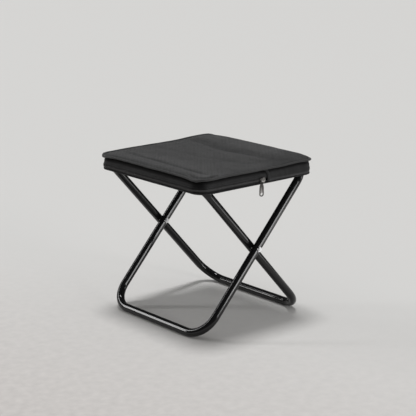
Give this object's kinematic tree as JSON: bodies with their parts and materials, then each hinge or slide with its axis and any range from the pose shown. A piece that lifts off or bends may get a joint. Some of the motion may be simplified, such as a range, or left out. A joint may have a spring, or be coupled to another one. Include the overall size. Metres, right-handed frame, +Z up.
{
  "type": "folding camp stool",
  "caption": "Folding stool on crossed loops of black round tube, with a flat zipped cloth pouch as its seat.",
  "frame": {"origin": "on the floor, under the middle of the stool's box", "axes": "+Z up, +Y along the pivot axis and the rails, -Y is the side with the zip pull, +X towards the top rail of the left-foot loop"},
  "size_m": [0.2906, 0.3139, 0.3105],
  "materials": {
    "painted_tube": "gloss black paint",
    "rivet_steel": "bright plated",
    "spacer": "plain",
    "woven_top": "dense woven cloth",
    "side_cloth": "woven cloth",
    "zip_tape": "herringbone tape",
    "zip_coil": "moulded coil",
    "zip_metal": "polished nickel"
  },
  "bodies": {
    "left_foot_body": {"left_foot_frame": "painted_tube", "front_pivot_rivet": "rivet_steel", "rear_pivot_rivet": "rivet_steel", "front_pivot_washer": "spacer", "rear_pivot_washer": "spacer", "right_rail_sleeve": "side_cloth", "seat_top_panel": "woven_top", "seat_bottom_panel": "side_cloth", "top_edge_binding": "woven_top", "bottom_edge_binding": "side_cloth", "side_gusset": "side_cloth", "zip_tape_upper": "zip_tape", "zip_tape_lower": "zip_tape", "zip_chain": "zip_coil", "front_end_tab": "side_cloth", "rear_end_tab": "side_cloth"},
    "right_foot_body": {"right_foot_frame": "painted_tube", "left_rail_sleeve": "side_cloth"},
    "zip_end_body": {"zip_front_stop": "zip_metal", "zip_rear_stop": "zip_metal"},
    "zip_slider_body": {"zip_slider": "zip_metal"},
    "zip_pull_body": {"zip_pull_tab": "zip_metal"}
  },
  "joints": [
    {"name": "scissor_fold", "type": "hinge", "parent": "left_foot_body", "child": "right_foot_body", "pos_m": [0, 0, 0.15366], "axis": [0, 1, 0], "range_deg": [0, 66], "deforming": ["seat_top_panel", "seat_bottom_panel", "top_edge_binding", "bottom_edge_binding", "side_gusset", "zip_tape_upper", "zip_tape_lower", "zip_chain", "front_end_tab", "rear_end_tab"]},
    {"name": "zip_end_follow", "type": "hinge", "parent": "left_foot_body", "child": "zip_end_body", "pos_m": [0, 0, 0.15366], "axis": [0, 1, 0], "range_deg": [0, 31]},
    {"name": "zip_slide", "type": "slide", "parent": "zip_end_body", "child": "zip_slider_body", "axis": [1, 0, 0], "range_m": [-0.11, 0]},
    {"name": "pull_swing", "type": "hinge", "parent": "zip_slider_body", "child": "zip_pull_body", "pos_m": [0.0022, -0.15588, 0.28381], "axis": [-1, 0, 0], "range_deg": [0, 150]}
  ],
  "couplings": [
    {"joint": "zip_end_follow", "follows": "scissor_fold", "ratio": 0.4646}
  ]
}
